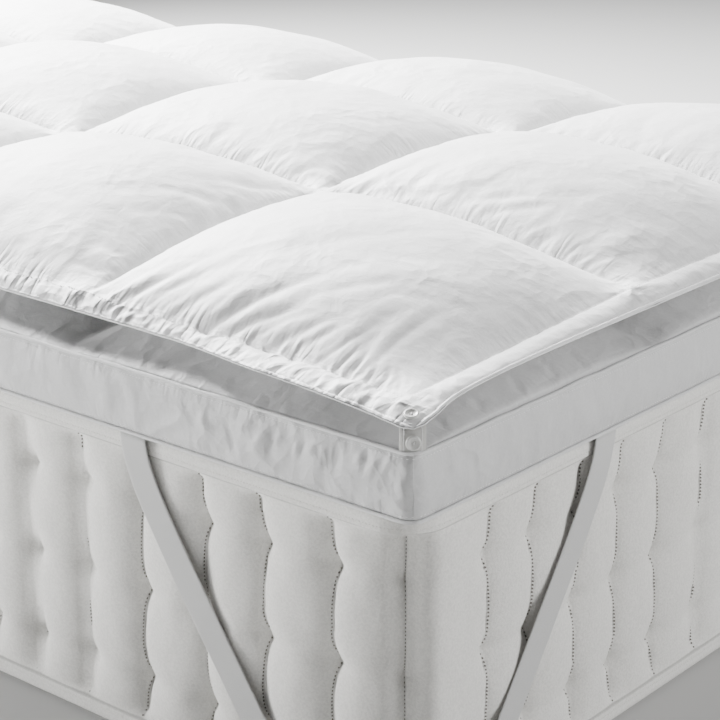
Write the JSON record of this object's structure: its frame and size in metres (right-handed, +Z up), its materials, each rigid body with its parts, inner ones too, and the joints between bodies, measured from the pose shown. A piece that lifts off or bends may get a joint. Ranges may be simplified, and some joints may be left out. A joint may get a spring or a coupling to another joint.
{
  "type": "layered feather and down mattress protector on a mattress",
  "caption": "Layered mattress protector: flanged down pad buttoned at the corners to a piped feather pad, both box-quilted, held on a side-tufted mattress by corner straps.",
  "frame": {"origin": "on the floor, under the middle of the mattress", "axes": "+X along the mattress's length, +Y across it, +Z up"},
  "size_m": [2.007, 0.907, 0.4323],
  "materials": {
    "mattress_ticking": "matt ivory wool-faced ticking with a soft nap, side-tufted",
    "lower_pad_cotton": "dense cool-white cotton with a faint satin sheen",
    "upper_pad_cotton": "bright white down-proof cotton, matt with fine weave",
    "piping_cotton": "white cotton-covered cord",
    "tab_twill": "grey-beige twill tape, fine diagonal weave",
    "button_resin": "translucent off-white resin, soft gloss",
    "elastic_webbing": "white elastic webbing with fine cross ribs"
  },
  "bodies": {
    "root": {"mattress": "mattress_ticking", "lower_pad": "lower_pad_cotton", "lower_pad_top_piping": "piping_cotton", "lower_pad_bottom_piping": "piping_cotton", "top_pad": "upper_pad_cotton", "corner_tab_1": "tab_twill", "top_button_1": "button_resin", "tab_button_1": "button_resin", "corner_strap_1": "elastic_webbing", "corner_tab_2": "tab_twill", "top_button_2": "button_resin", "tab_button_2": "button_resin", "corner_strap_2": "elastic_webbing", "corner_tab_3": "tab_twill", "top_button_3": "button_resin", "tab_button_3": "button_resin", "corner_strap_3": "elastic_webbing", "corner_tab_4": "tab_twill", "top_button_4": "button_resin", "tab_button_4": "button_resin", "corner_strap_4": "elastic_webbing"}
  },
  "joints": []
}
